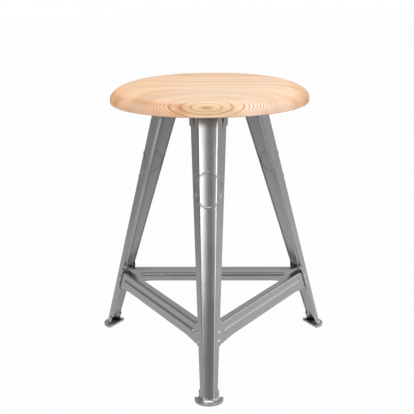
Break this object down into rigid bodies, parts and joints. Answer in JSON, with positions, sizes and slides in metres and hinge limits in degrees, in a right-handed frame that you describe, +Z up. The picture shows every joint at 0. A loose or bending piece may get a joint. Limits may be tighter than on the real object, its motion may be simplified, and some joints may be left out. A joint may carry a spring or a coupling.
{
  "type": "machinist stool",
  "caption": "Low shop stool: round wooden seat with a soft edge on three splayed legs of pressed steel channel, braced by a triangle of beaded stretchers.",
  "frame": {"origin": "on the floor, at the middle of the stool's outline seen from above; the seat's own axis stands 36.7 mm behind it, at +Y", "axes": "+Z up, one leg towards -Y, the other two at the back left and back right, so the stool is alike on both sides of the plane X = 0"},
  "size_m": [0.4352, 0.422, 0.5],
  "materials": {
    "seat_wood": "satin varnish",
    "leg_steel": "satin",
    "stretcher_steel": "satin",
    "sole_steel": "satin",
    "hidden_steel": "satin",
    "fasteners": "bright zinc"
  },
  "bodies": {
    "root": {"joint_rivets_front_left": "fasteners", "joint_rivets_front_right": "fasteners", "joint_rivets_rear_left_left": "fasteners", "joint_rivets_rear_left_rear": "fasteners", "joint_rivets_rear_right_rear": "fasteners", "joint_rivets_rear_right_right": "fasteners", "leg_front": "leg_steel", "leg_rear_left": "leg_steel", "leg_rear_right": "leg_steel", "seat": "seat_wood", "seat_plate": "hidden_steel", "seat_screws": "fasteners", "seat_washers": "fasteners", "sole_front": "sole_steel", "sole_rear_left": "sole_steel", "sole_rear_right": "sole_steel", "stretcher_left": "stretcher_steel", "stretcher_rear": "stretcher_steel", "stretcher_right": "stretcher_steel", "top_rivets_front": "fasteners", "top_rivets_rear_left": "fasteners", "top_rivets_rear_right": "fasteners"}
  },
  "joints": []
}
